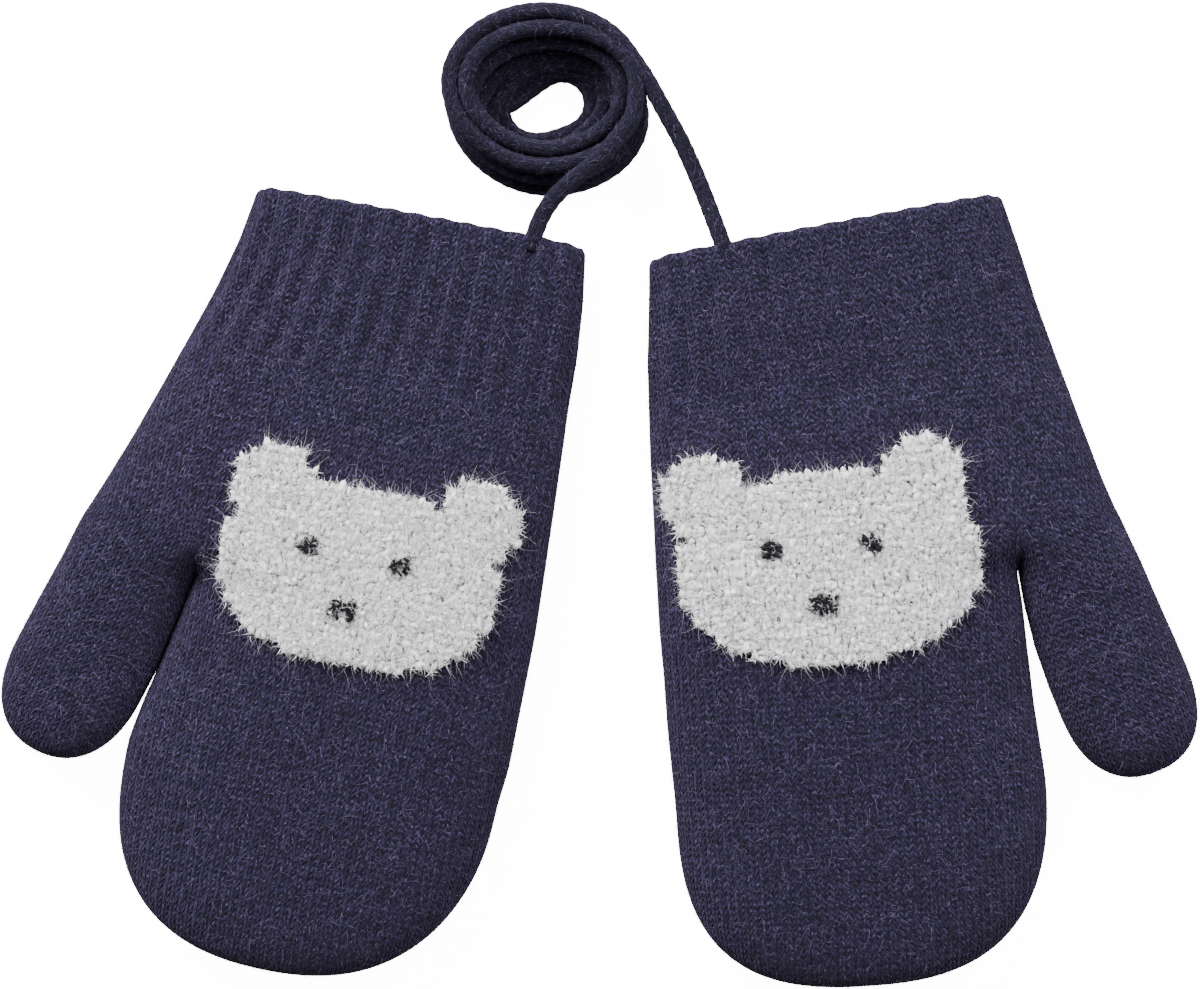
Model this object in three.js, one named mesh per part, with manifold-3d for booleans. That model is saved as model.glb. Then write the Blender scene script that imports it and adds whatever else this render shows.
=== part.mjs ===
// A pair of baby mittens in brushed knitted wool, lying flat with the fingertips towards -Y.
// Each mitten is a ribbed cuff, a hollow hand with a gusset, and a thumb; a bear's head is knitted
// into the top of the hand in a thicker pale yarn. One knitted cord joins the two cuffs and is
// wound into a small leaning coil above them.
// Millimetres, +Z up. The origin is the middle of the pair, on the surface that it lies on.
import * as THREE from "three";
import { mergeVertices } from "three/addons/utils/BufferGeometryUtils.js";
import Module from "manifold-3d";

const wasm = await Module();
wasm.setup();

// Knitted cloth
const WALL = 2.6; // thickness of the brushed knit
const GAP = 0.3; // clearance at every seam
const CUFF_LENGTH = 32;
const RIB_COUNT = 28; // ribs all round one cuff
const RIB_DEPTH = 0.8; // how far the furrow between two ribs lies below them
const POINTS_A_RIB = 4;
const RIM_ROUNDING = 0.7; // the rim's outer edge is rolled over by this much
const RIM_DEPTH = 1.1; // the rolled edge's length along the cuff
const RIB_FADE = 6; // the ribs fade out over this last stretch of the cuff
const CUT_PAST = 2; // a hollow is cut this far past the open end that it leaves
const THINNEST = 0.3; // half size to which a closing section shrinks at a tip

// Section of a mitten that lies flat: a full oval, pressed flat underneath
const FULLNESS = 2.6; // exponent of the oval: 2 is an ellipse, more is squarer
const EDGE_SHARE = 0.4; // height of the side edge, as a share of the whole height
const PRESSED = 1.12; // the lower half would reach this far, in edge heights, without the floor
const TIP_HEIGHT_FULLNESS = 3.4; // exponent of the round-over of the height at a closed tip
const HAND_POINTS = 40; // points in a ring of the hand
const THUMB_POINTS = 28;
const INSIDE_POINTS = 28; // points in a ring of a plain inside
const TIP_RINGS = 7;
const TIP_LAST = 0.985; // the last ring lies at this share of the way to the tip
const THUMB_HOLE_BACK = 13; // the thumb's hollow runs this far back into the hand

// Bear's head in thick pale yarn: an oval head, two round ears, two eyes and a nose
const BEAR = {
  halfWidth: 26.2,
  halfHeight: 16.6,
  fullness: 2.35,
  earRadius: 7.6,
  earOut: 19.6,
  earUp: 15.2,
  eyeOut: 8.8,
  eyeUp: 3.8,
  noseDown: 6.6,
};
const BEAR_THICKNESS = 1.1;
const BEAR_LIFT = 0.5; // the pale yarn stands this far above the plain knit
const BEAR_CORNERS = 48;
const BEAR_RINGS = 3;
const EYE_RADIUS = 1.9;
const NOSE_HALF_WIDTH = 2.7;
const NOSE_HALF_HEIGHT = 1.7;
const FACE_THICKNESS = 0.7;
const FACE_CORNERS = 12;
const PAD_EDGE = 0.7; // a pad's rim is this share of its thickness

// Knitted cord, and the coil that it is wound into
const CORD_DIAMETER = 3;
const CORD_SIDES = 8;
const COIL_MIDDLE = [-10.3, 91.9]; // middle of the top turn
const COIL_HALF_LENGTH = 15.5; // half axes of the oval midway between the two columns of turns
const COIL_HALF_WIDTH = 11.8;
const COIL_THICKNESS = 6.2; // two columns side by side
const COIL_HEIGHT = 12.4;
const COIL_LEAN = [0.09, -0.55]; // sideways shift for each millimetre further down
const COIL_SEGMENTS = 30;

// A table's rows become objects with the columns' names.
function table(columns, rows) {
  return rows.map((row) => Object.fromEntries(columns.map((name, i) => [name, row[i]])));
}

// side: -1 where the thumb points to -X, +1 where it points to +X.
// turn: degrees by which the middle line leans towards the thumb's side, at the cuff and in the hand.
// In outline, little and thumb are the distances from the middle line to the little finger's
// side and the thumb's side, along is measured from the cuff's edge.
const LEFT = {
  name: "left",
  side: -1,
  cuffMiddle: [-32.5, 67.6],
  cuffTurn: 10.6,
  handTurn: 11.2,
  bendEnd: 60,
  tipStart: 104,
  tipEnd: 140.6,
  tipFullness: 2.4,
  tipShift: 1.6,
  bear: { along: 67.4, across: -1.6, size: 1 },
  outline: table(["along", "little", "thumb", "height"], [
    [0, 30.6, 30.6, 11],
    [10, 32, 32.2, 11.3],
    [20, 32.8, 34.8, 11.6],
    [30, 33, 38, 12.2],
    [40, 33.5, 41.2, 13.2],
    [50, 34, 44.5, 14.2],
    [60, 34.5, 48.2, 14.8],
    [64.5, 34.7, 50.1, 15],
    [71.2, 35, 27.8, 15],
    [80, 35, 29.4, 15],
    [88, 35, 31, 15],
    [96, 35, 32.9, 15],
    [104, 34.2, 34.3, 15],
  ]),
  thumb: {
    root: [-83.5, 8.3],
    turn: 27.4,
    tipStart: 26,
    tipEnd: 43,
    tipFullness: 2.3,
    outline: table(["along", "inner", "outer", "height"], [
      [-3, 10.5, 10.2, 9.4],
      [0, 11.6, 11.5, 11.8],
      [5, 12, 11.7, 12.8],
      [10, 12.5, 11.8, 13],
      [18, 13, 12.1, 13],
      [26, 13, 12.2, 13],
    ]),
  },
};

const RIGHT = {
  name: "right",
  side: 1,
  cuffMiddle: [41.6, 66],
  cuffTurn: 10.6,
  handTurn: 4,
  bendEnd: 60,
  tipStart: 104,
  tipEnd: 139.3,
  tipFullness: 2.7,
  tipShift: -1,
  bear: { along: 62.4, across: -6.8, size: 1.03 },
  outline: table(["along", "little", "thumb", "height"], [
    [0, 33.2, 32.5, 11],
    [10, 35, 34, 11.3],
    [20, 36.8, 35.5, 11.6],
    [30, 37.8, 37.8, 12.2],
    [40, 38.5, 40.5, 13.2],
    [50, 38.8, 43.5, 14.2],
    [57.5, 39, 46.3, 14.8],
    [63.8, 39.1, 26.6, 15],
    [72, 39.2, 27.4, 15],
    [80, 39, 27.7, 15],
    [90, 39, 28.2, 15],
    [104, 38.5, 29.4, 15],
  ]),
  thumb: {
    root: [85.95, 8.6],
    turn: 22,
    tipStart: 29,
    tipEnd: 45.4,
    tipFullness: 2.4,
    outline: table(["along", "inner", "outer", "height"], [
      [-3, 9.6, 9.2, 9.4],
      [0, 10.3, 10.1, 11.8],
      [8, 12, 10.5, 13],
      [16, 13.1, 10.7, 13],
      [24, 13.5, 11.1, 13],
      [29, 13.5, 11.2, 13],
    ]),
  },
};
const MITTENS = [LEFT, RIGHT];

// Routes of the cord's two free stretches, from the coil to the rim of each cuff
const LEFT_LEAD = [
  [-5.4, 73.7, 10.4],
  [-7.4, 72.1, 10.1],
  [-9.1, 70.2, 9.7],
  [-10.3, 68.1, 9.2],
  [-11.1, 66.3, 8.7],
  [-11.9, 64.5, 8.7],
];
const RIGHT_LEAD = [
  [10.6, 89.1, 10.1],
  [12.4, 85.6, 9.5],
  [14.6, 82, 8.9],
  [17.2, 76.4, 7.9],
  [19.2, 71.4, 7.9],
  [20.7, 67.2, 8.6],
  [22.1, 63.2, 9],
];

const NAVY = new THREE.Color("#35324f");
const PALE = new THREE.Color("#cbc7c8");
const BLACK = new THREE.Color("#1b1a20");

function brushedWool(color) {
  return new THREE.MeshStandardMaterial({ color, roughness: 0.95, metalness: 0 });
}

// A value that eases from 0 to 1 as share goes from 0 to 1.
function ease(share) {
  return THREE.MathUtils.smoothstep(share, 0, 1);
}

// A table's row at any distance along, worked out between its two neighbours.
function rowAt(rows, along) {
  const next = rows.findIndex((row) => row.along >= along);
  if (next === 0) return { ...rows[0] };
  if (next === -1) return { ...rows[rows.length - 1] };
  const [a, b] = [rows[next - 1], rows[next]];
  const share = (along - a.along) / (b.along - a.along);
  const between = Object.keys(a).map((name) => [name, THREE.MathUtils.lerp(a[name], b[name], share)]);
  return Object.fromEntries(between);
}

// Closes a tube's section towards its tip: the width follows a full oval, the height a fuller one.
function closedAt(row, along, piece) {
  const share = THREE.MathUtils.clamp((along - piece.tipStart) / (piece.tipEnd - piece.tipStart), 0, 1);
  const width = Math.pow(1 - Math.pow(share, piece.tipFullness), 1 / piece.tipFullness);
  const height = Math.pow(1 - Math.pow(share, TIP_HEIGHT_FULLNESS), 1 / TIP_HEIGHT_FULLNESS);
  return { ...row, width, tall: height };
}

// Section of the hand or cuff at a distance along: middle and half width across, and height.
function handSection(mitten, along) {
  const row = closedAt(rowAt(mitten.outline, along), along, mitten);
  const toTip = ease((along - mitten.tipStart) / (mitten.tipEnd - mitten.tipStart));
  return {
    middle: (row.thumb - row.little) / 2 + mitten.tipShift * toTip,
    half: ((row.thumb + row.little) / 2) * row.width,
    height: row.height,
    tall: row.tall,
  };
}

// Section of the thumb; across is positive towards its outer side.
function thumbSection(thumb, along) {
  const row = closedAt(rowAt(thumb.outline, along), along, thumb);
  return {
    middle: (row.outer - row.inner) / 2,
    half: ((row.outer + row.inner) / 2) * row.width,
    height: row.height,
    tall: row.tall,
  };
}

// One point of a section, at an angle from its thumb side, moved in by inset.
function sectionPoint(section, angle, inset) {
  const power = 2 / FULLNESS;
  const c = Math.cos(angle);
  const s = Math.sin(angle);
  const half = Math.max(section.half - inset, THINNEST);
  const edge = section.height * EDGE_SHARE;
  const above = Math.max((section.height - edge - inset) * section.tall, THINNEST);
  const below = edge * PRESSED * section.tall;
  const across = section.middle + half * Math.sign(c) * Math.pow(Math.abs(c), power);
  const lift = Math.pow(Math.abs(s), power);
  const z = s >= 0 ? edge + above * lift : Math.max(inset, edge - below * lift);
  return [across, z];
}

// Height of a hand's top above the floor.
function handTop(mitten, along, across) {
  const section = handSection(mitten, along);
  const out = Math.min(Math.abs(across - section.middle) / section.half, 1);
  const edge = section.height * EDGE_SHARE;
  const crown = Math.pow(1 - Math.pow(out, FULLNESS), 1 / FULLNESS);
  return edge + (section.height - edge) * section.tall * crown;
}

// Points spaced evenly round a section, starting at its thumb side.
function evenRing(section, count, inset) {
  const steps = 360;
  const outline = [];
  for (let i = 0; i <= steps; i += 1) {
    const [across, z] = sectionPoint(section, (i / steps) * 2 * Math.PI, inset);
    outline.push(new THREE.Vector2(across, z));
  }
  const lengths = [0];
  for (let i = 1; i <= steps; i += 1) {
    lengths.push(lengths[i - 1] + outline[i].distanceTo(outline[i - 1]));
  }
  const ring = [];
  let i = 1;
  for (let k = 0; k < count; k += 1) {
    const target = (lengths[steps] * k) / count;
    while (lengths[i] < target) i += 1;
    const share = (target - lengths[i - 1]) / (lengths[i] - lengths[i - 1] || 1);
    ring.push(outline[i - 1].clone().lerp(outline[i], share));
  }
  return ring;
}

// Cuts furrows between ribs into an even ring: each point moves in along the ring's own normal.
function ribbed(ring, depth) {
  return ring.map((point, k) => {
    const before = ring[(k + ring.length - 1) % ring.length];
    const after = ring[(k + 1) % ring.length];
    const along = after.clone().sub(before).normalize();
    const inwards = new THREE.Vector2(-along.y, along.x);
    const furrow = 0.5 - 0.5 * Math.cos((2 * Math.PI * k) / POINTS_A_RIB);
    return point.clone().addScaledVector(inwards, depth * furrow);
  });
}

// The mitten's middle line in the plane: where it is and how it is turned at a distance along.
function middleLine(mitten, along) {
  const step = 0.5;
  let [x, y] = mitten.cuffMiddle;
  let turn = 0;
  const direction = Math.sign(along) || 1;
  for (let done = 0; done <= Math.abs(along); done += step) {
    const share = Math.max(direction * done, 0) / mitten.bendEnd;
    turn = THREE.MathUtils.degToRad(
      mitten.cuffTurn + (mitten.handTurn - mitten.cuffTurn) * ease(share),
    );
    const length = direction * Math.min(step, Math.abs(along) - done);
    x += mitten.side * Math.sin(turn) * length;
    y -= Math.cos(turn) * length;
  }
  return { x, y, turn };
}

// A point of a mitten, from its distance along and across, in the pair's frame.
function onMitten(mitten, along, across, z) {
  const { x, y, turn } = middleLine(mitten, along);
  const outwards = new THREE.Vector3(mitten.side * Math.cos(turn), Math.sin(turn), 0);
  return new THREE.Vector3(x, y, z).addScaledVector(outwards, across);
}

function onThumb(mitten, along, across, z) {
  const turn = THREE.MathUtils.degToRad(mitten.thumb.turn);
  const [x, y] = mitten.thumb.root;
  const down = new THREE.Vector3(mitten.side * Math.sin(turn), -Math.cos(turn), 0);
  const outwards = new THREE.Vector3(mitten.side * Math.cos(turn), Math.sin(turn), 0);
  return new THREE.Vector3(x, y, z).addScaledVector(down, along).addScaledVector(outwards, across);
}

// Closed geometry from a grid of points: layers of rings, each end closed to its ring's middle.
function loft(rings) {
  const count = rings[0].length;
  const positions = rings.flat().flatMap((point) => point.toArray());
  const index = [];
  for (let r = 0; r < rings.length - 1; r += 1) {
    for (let k = 0; k < count; k += 1) {
      const a = r * count + k;
      const b = r * count + ((k + 1) % count);
      index.push(a, b, a + count, b, b + count, a + count);
    }
  }
  [0, rings.length - 1].forEach((r, end) => {
    const middle = new THREE.Vector3();
    rings[r].forEach((point) => middle.addScaledVector(point, 1 / count));
    const centre = positions.length / 3;
    positions.push(...middle.toArray());
    for (let k = 0; k < count; k += 1) {
      const a = r * count + k;
      const b = r * count + ((k + 1) % count);
      index.push(...(end === 0 ? [centre, b, a] : [centre, a, b]));
    }
  });
  const geometry = new THREE.BufferGeometry();
  geometry.setAttribute("position", new THREE.Float32BufferAttribute(positions, 3));
  geometry.setIndex(index);
  return geometry;
}

// A solid for cutting and joining, with its faces turned outwards.
function toSolid(geometry) {
  const bare = geometry.clone();
  bare.deleteAttribute("normal");
  bare.deleteAttribute("uv");
  const merged = mergeVertices(bare, 1e-4);
  const triVerts = new Uint32Array(merged.index.array);
  const vertProperties = new Float32Array(merged.attributes.position.array);
  const solid = new wasm.Manifold(new wasm.Mesh({ numProp: 3, vertProperties, triVerts }));
  if (solid.volume() > 0) return solid;
  return new wasm.Manifold(
    new wasm.Mesh({ numProp: 3, vertProperties, triVerts: triVerts.slice().reverse() }),
  );
}

function toMesh(solid, name, color) {
  const { vertProperties, triVerts } = solid.getMesh();
  const geometry = new THREE.BufferGeometry();
  geometry.setAttribute("position", new THREE.BufferAttribute(new Float32Array(vertProperties), 3));
  geometry.setIndex(new THREE.BufferAttribute(new Uint32Array(triVerts), 1));
  geometry.computeVertexNormals();
  const mesh = new THREE.Mesh(geometry, brushedWool(color));
  mesh.name = name;
  return mesh;
}

// Distances along at which a tube with a closed tip has its rings.
function stations(start, rows, piece, shorten) {
  const end = piece.tipEnd - shorten;
  const plain = rows.map((row) => row.along).filter((along) => along > start && along < piece.tipStart);
  const tip = [];
  for (let k = 0; k <= TIP_RINGS; k += 1) {
    const share = TIP_LAST * Math.sin((k / TIP_RINGS) * (Math.PI / 2));
    tip.push(piece.tipStart + (end - piece.tipStart) * share);
  }
  return [start, ...plain, ...tip];
}

// The hand's tube as one solid, moved in by inset. A negative inset makes it larger.
function handSolid(mitten, start, inset, count) {
  const shortened = { ...mitten, tipEnd: mitten.tipEnd - inset };
  const rings = stations(start, mitten.outline, mitten, inset).map((along) =>
    evenRing(handSection(shortened, along), count, inset).map((p) => onMitten(mitten, along, p.x, p.y)),
  );
  return toSolid(loft(rings));
}

function thumbSolid(mitten, start, inset, count) {
  const { thumb } = mitten;
  const shortened = { ...thumb, tipEnd: thumb.tipEnd - inset };
  const rings = stations(start, thumb.outline, thumb, inset).map((along) =>
    evenRing(thumbSection(shortened, along), count, inset).map((p) => onThumb(mitten, along, p.x, p.y)),
  );
  return toSolid(loft(rings));
}

// Ribbed cuff: raised ribs outside, a plain inside, and a rim that is rolled over.
function makeCuff(mitten) {
  const count = RIB_COUNT * POINTS_A_RIB;
  const fadeStart = CUFF_LENGTH - RIB_FADE;
  const outerRings = [0, RIM_DEPTH, 10, 20, fadeStart, CUFF_LENGTH].map((along) => {
    const rolled = along === 0 ? RIM_ROUNDING : 0;
    const fade = 1 - ease((along - fadeStart) / (CUFF_LENGTH - fadeStart));
    const ring = ribbed(evenRing(handSection(mitten, along), count, rolled), RIB_DEPTH * fade);
    return ring.map((p) => onMitten(mitten, along, p.x, Math.max(p.y, 0)));
  });
  const innerRings = [-CUT_PAST, 10, 20, CUFF_LENGTH + CUT_PAST].map((along) => {
    const ring = evenRing(handSection(mitten, Math.max(along, 0)), INSIDE_POINTS, WALL);
    return ring.map((p) => onMitten(mitten, along, p.x, p.y));
  });
  const cuff = toSolid(loft(outerRings)).subtract(toSolid(loft(innerRings)));
  return toMesh(cuff, `${mitten.name}_cuff`, NAVY);
}

function makeHand(mitten) {
  const outside = handSolid(mitten, CUFF_LENGTH + GAP, 0, HAND_POINTS);
  const inside = handSolid(mitten, CUFF_LENGTH - CUT_PAST, WALL, INSIDE_POINTS);
  const thumbHole = thumbSolid(mitten, -THUMB_HOLE_BACK, WALL, INSIDE_POINTS);
  return toMesh(outside.subtract(inside).subtract(thumbHole), `${mitten.name}_hand`, NAVY);
}

// The thumb starts against the gusset and follows the hand's side down to the crotch.
function makeThumb(mitten) {
  const outside = thumbSolid(mitten, mitten.thumb.outline[0].along, 0, THUMB_POINTS);
  const inside = thumbSolid(mitten, -THUMB_HOLE_BACK, WALL, INSIDE_POINTS);
  const handAndGap = handSolid(mitten, CUFF_LENGTH, -GAP, HAND_POINTS);
  return toMesh(outside.subtract(handAndGap).subtract(inside), `${mitten.name}_thumb`, NAVY);
}

// Distance from the middle of the bear's head to its outline, in one direction:
// the far side of the head's oval, or of an ear's circle where that reaches further.
function bearReach(angle) {
  const c = Math.cos(angle);
  const s = Math.sin(angle);
  const wide = Math.pow(Math.abs(c) / BEAR.halfWidth, BEAR.fullness);
  const high = Math.pow(Math.abs(s) / BEAR.halfHeight, BEAR.fullness);
  let reach = Math.pow(wide + high, -1 / BEAR.fullness);
  [-1, 1].forEach((ear) => {
    const toward = c * ear * BEAR.earOut + s * BEAR.earUp;
    const aside = BEAR.earOut ** 2 + BEAR.earUp ** 2 - toward ** 2;
    const chord = BEAR.earRadius ** 2 - aside;
    if (toward > 0 && chord > 0) reach = Math.max(reach, toward + Math.sqrt(chord));
  });
  return reach;
}

// A thin pad on the top of a hand. reach gives its outline from its middle at each angle, x is
// towards +X and up is towards the cuff; lift is its height above the hand.
function padOnHand(mitten, centre, reach, corners, rings, lift, thickness) {
  const place = (x, up, raise) => {
    const along = centre.along - up;
    const across = centre.across + mitten.side * x;
    return onMitten(mitten, along, across, handTop(mitten, along, across) + raise);
  };
  const layer = (share, raise) => {
    const ring = [];
    for (let k = 0; k < corners; k += 1) {
      const angle = (k / corners) * 2 * Math.PI;
      const r = reach(angle) * share;
      ring.push(place(r * Math.cos(angle), r * Math.sin(angle), raise));
    }
    return ring;
  };
  const shares = Array.from({ length: rings }, (_, i) => (i + 1) / rings);
  const under = shares.map((share) => layer(share, lift));
  const over = shares.map((share) => layer(share, lift + thickness * (share < 1 ? 1 : PAD_EDGE)));
  return toSolid(loft([...under, ...over.reverse()]));
}

function makeBear(mitten) {
  const { along, across, size } = mitten.bear;
  const reach = (angle) => bearReach(angle) * size;
  const head = padOnHand(
    mitten, { along, across }, reach, BEAR_CORNERS, BEAR_RINGS, BEAR_LIFT, BEAR_THICKNESS,
  );
  return toMesh(head, `${mitten.name}_bear`, PALE);
}

// Eyes and nose, in near-black yarn on the pale yarn.
function makeFace(mitten) {
  const features = table(["name", "x", "up", "halfWidth", "halfHeight"], [
    ["eye_1", -BEAR.eyeOut, BEAR.eyeUp, EYE_RADIUS, EYE_RADIUS],
    ["eye_2", BEAR.eyeOut, BEAR.eyeUp, EYE_RADIUS, EYE_RADIUS],
    ["nose", 0, -BEAR.noseDown, NOSE_HALF_WIDTH, NOSE_HALF_HEIGHT],
  ]);
  return features.map((feature) => {
    const centre = {
      along: mitten.bear.along - feature.up * mitten.bear.size,
      across: mitten.bear.across + mitten.side * feature.x * mitten.bear.size,
    };
    const reach = (angle) =>
      1 / Math.hypot(Math.cos(angle) / feature.halfWidth, Math.sin(angle) / feature.halfHeight);
    const lift = BEAR_LIFT + BEAR_THICKNESS + GAP;
    const pad = padOnHand(mitten, centre, reach, FACE_CORNERS, 1, lift, FACE_THICKNESS);
    return toMesh(pad, `${mitten.name}_${feature.name}`, BLACK);
  });
}

// A free stretch of the cord: a round section carried along its route.
function makeLead(name, route) {
  const path = new THREE.CatmullRomCurve3(route.map((point) => new THREE.Vector3(...point)));
  const section = new THREE.Shape();
  section.absarc(0, 0, CORD_DIAMETER / 2, 0, 2 * Math.PI, false);
  const geometry = new THREE.ExtrudeGeometry(section, {
    curveSegments: CORD_SIDES / 2,
    steps: 10,
    extrudePath: path,
  });
  const mesh = new THREE.Mesh(geometry, brushedWool(NAVY));
  mesh.name = name;
  return mesh;
}

// The coil's outer form: a ring with rounded corners, stretched to an oval and leaning.
function makeCoil() {
  const radius = COIL_HALF_LENGTH;
  const out = COIL_THICKNESS / 2;
  const corner = CORD_DIAMETER / 2;
  const profile = new THREE.Shape();
  profile.moveTo(radius - out + corner, 0);
  profile.absarc(radius + out - corner, corner, corner, -Math.PI / 2, 0, false);
  profile.absarc(radius + out - corner, COIL_HEIGHT - corner, corner, 0, Math.PI / 2, false);
  profile.absarc(radius - out + corner, COIL_HEIGHT - corner, corner, Math.PI / 2, Math.PI, false);
  profile.absarc(radius - out + corner, corner, corner, Math.PI, 1.5 * Math.PI, false);
  const points = profile.getPoints(2).slice(0, -1);
  points.push(points[0].clone());
  const geometry = new THREE.LatheGeometry(points, COIL_SEGMENTS);
  geometry.rotateX(Math.PI / 2);
  const position = geometry.attributes.position;
  for (let i = 0; i < position.count; i += 1) {
    const point = new THREE.Vector3().fromBufferAttribute(position, i);
    const angle = Math.atan2(point.y, point.x);
    const offset = Math.hypot(point.x, point.y) - radius;
    const down = COIL_HEIGHT - point.z;
    position.setXYZ(
      i,
      COIL_MIDDLE[0] + (COIL_HALF_LENGTH + offset) * Math.cos(angle) + COIL_LEAN[0] * down,
      COIL_MIDDLE[1] + (COIL_HALF_WIDTH + offset) * Math.sin(angle) + COIL_LEAN[1] * down,
      point.z,
    );
  }
  return toMesh(toSolid(geometry), "cord_coil", NAVY);
}

const pair = new THREE.Group();
for (const mitten of MITTENS) {
  const group = new THREE.Group();
  group.add(makeCuff(mitten), makeHand(mitten), makeThumb(mitten));
  group.add(makeBear(mitten), ...makeFace(mitten));
  pair.add(group);
}
const cord = new THREE.Group();
cord.add(makeCoil(), makeLead("cord_left", LEFT_LEAD), makeLead("cord_right", RIGHT_LEAD));
pair.add(cord);

export default pair;
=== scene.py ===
# The frame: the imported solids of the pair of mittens, fixed and at rest.
# Everything below is worked out in millimetres and written in metres, in that same frame.
import bpy
import numpy as np
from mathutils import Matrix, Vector


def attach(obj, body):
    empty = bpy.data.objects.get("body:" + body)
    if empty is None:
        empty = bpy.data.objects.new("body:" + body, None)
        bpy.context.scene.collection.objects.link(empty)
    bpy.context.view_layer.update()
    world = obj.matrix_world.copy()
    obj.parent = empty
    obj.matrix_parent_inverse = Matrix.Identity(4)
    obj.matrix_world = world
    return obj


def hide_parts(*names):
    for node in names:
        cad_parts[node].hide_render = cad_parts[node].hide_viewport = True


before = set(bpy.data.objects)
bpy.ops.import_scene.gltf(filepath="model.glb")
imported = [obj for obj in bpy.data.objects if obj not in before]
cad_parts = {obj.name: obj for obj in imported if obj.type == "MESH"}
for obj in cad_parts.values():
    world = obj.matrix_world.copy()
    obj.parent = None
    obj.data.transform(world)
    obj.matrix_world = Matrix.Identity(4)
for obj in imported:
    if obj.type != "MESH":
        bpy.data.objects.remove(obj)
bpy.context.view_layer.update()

MM = 0.001


# The camera looks straight down on the pair, as the photograph does, with its top towards +Y.
# The cord was measured against what it sees.
SHEET_WIDTH = 219.6  # what the picture's width takes in, in mm, at the height of the outlines
PICTURE_MIDDLE = (0.1, 16.7)
OUTLINE_HEIGHT = 6
LENS = 85
SENSOR = 36
camera_data = bpy.data.cameras.new("camera")
camera_data.lens = LENS
camera_data.sensor_width = SENSOR
camera = bpy.data.objects.new("camera", camera_data)
camera_height = OUTLINE_HEIGHT + SHEET_WIDTH * LENS / SENSOR
camera.location = (PICTURE_MIDDLE[0] * MM, PICTURE_MIDDLE[1] * MM, camera_height * MM)
bpy.context.collection.objects.link(camera)
bpy.context.scene.camera = camera


# Cord: one round knitted wool cord, 3 mm thick, sewn to the rim of each cuff and wound into a
# small leaning coil from its middle outwards, so that both ends leave the top of the coil.
# It is limp, so the free stretches sag a little between the coil and the cuffs.
CORD_DIAMETER = 3
COIL_MIDDLE = np.array([-10.2, 91.4])  # middle of the top turn
COIL_LEAN = np.array([0.09, -0.55])  # sideways shift for each millimetre further down
LAYER = 3.1  # height from one turn to the next
TOP_LAYER = 3
INNER_TURN = np.array([14.2, 9.95])  # half axes of the inner and the outer column of turns
OUTER_TURN = np.array([17.1, 13.1])
OUTER_STARTS = 36  # degrees round a turn, clockwise from its left end
OUTER_LEAVES = 152
INNER_LEAVES = 190
INNER_SPREAD = np.array([2.9, 2.2])  # the top inner turn spreads out by this before it leaves
SPREAD_OVER = 110  # degrees
NARROWING = np.array([0.1, 0.07])  # the inner column's half axes shrink by this per mm down
TWIST = 1.6  # and its long axis turns by this many degrees per mm down
LEFT_ROUTE = np.array([  # from the coil to the left cuff's rim, and a little way into it
    [6.3, 85.4, 10.9], [4.3, 82.6, 10.9], [1.4, 79.1, 10.9], [-1.7, 76.2, 10.9],
    [-5.2, 73.5, 10.5], [-8.1, 70.9, 9.9], [-10.1, 68.2, 9.3], [-11.3, 65.6, 8.9],
    [-12.1, 63.2, 8.7], [-12.7, 61.2, 8.5],
])
RIGHT_ROUTE = np.array([
    [8.3, 92.6, 10.6], [10.3, 89.1, 10.1], [12.4, 85.4, 9.4], [14.6, 81.6, 8.7],
    [17.2, 76.1, 7.9], [19.2, 71.2, 7.7], [20.7, 67.1, 8.3], [22.1, 63.2, 9],
    [22.9, 60.9, 8.9], [23.2, 59.7, 8.8],
])
CORD_STEP = 0.6  # distance from one ring of the cord's mesh to the next
CORD_EASE = 1.3  # width of the Gaussian mean that rounds the route


def ease(share):
    """Rises smoothly from 0 to 1: three shares squared less two shares cubed."""
    share = np.clip(share, 0, 1)
    return share * share * (3 - 2 * share)


def on_coil(angle, z, halves, twist=0.0, narrowing=0.0):
    """Points on the leaning oval at angles in radians and heights z. For each millimetre below
    the top turn its long axis turns by twist degrees, and its half axes shrink by narrowing on
    the sides away from the near right, where it stays against the outer column."""
    down = (CORD_DIAMETER / 2 + LAYER * TOP_LAYER - z)[:, None]
    turned = np.radians(twist * down)
    halves = halves - narrowing * down
    x = halves[:, :1] * np.cos(angle)[:, None]
    y = halves[:, 1:] * np.sin(angle)[:, None]
    around = np.hstack([x * np.cos(turned) - y * np.sin(turned),
                        x * np.sin(turned) + y * np.cos(turned)])
    middle = COIL_MIDDLE + (COIL_LEAN + narrowing * np.array([1, -1])) * down
    return np.column_stack([middle + around, z])


def coil_turns(start, end, half_axes, first_layer, narrowing=0.0, twist=0.0, spread=0.0):
    """Turns clockwise round the oval, in degrees from its left end. Each turn lies flat for three
    quarters and climbs one layer in the last quarter."""
    turn = np.arange(start, end, 4.0)
    whole = np.floor(turn / 360)
    z = CORD_DIAMETER / 2 + LAYER * (first_layer + whole + ease((turn - whole * 360 - 270) / 90))
    out = ease((turn - end + SPREAD_OVER) / SPREAD_OVER)[:, None]
    return on_coil(np.radians(180 - turn), z, half_axes + out * spread, twist, narrowing)


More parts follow.
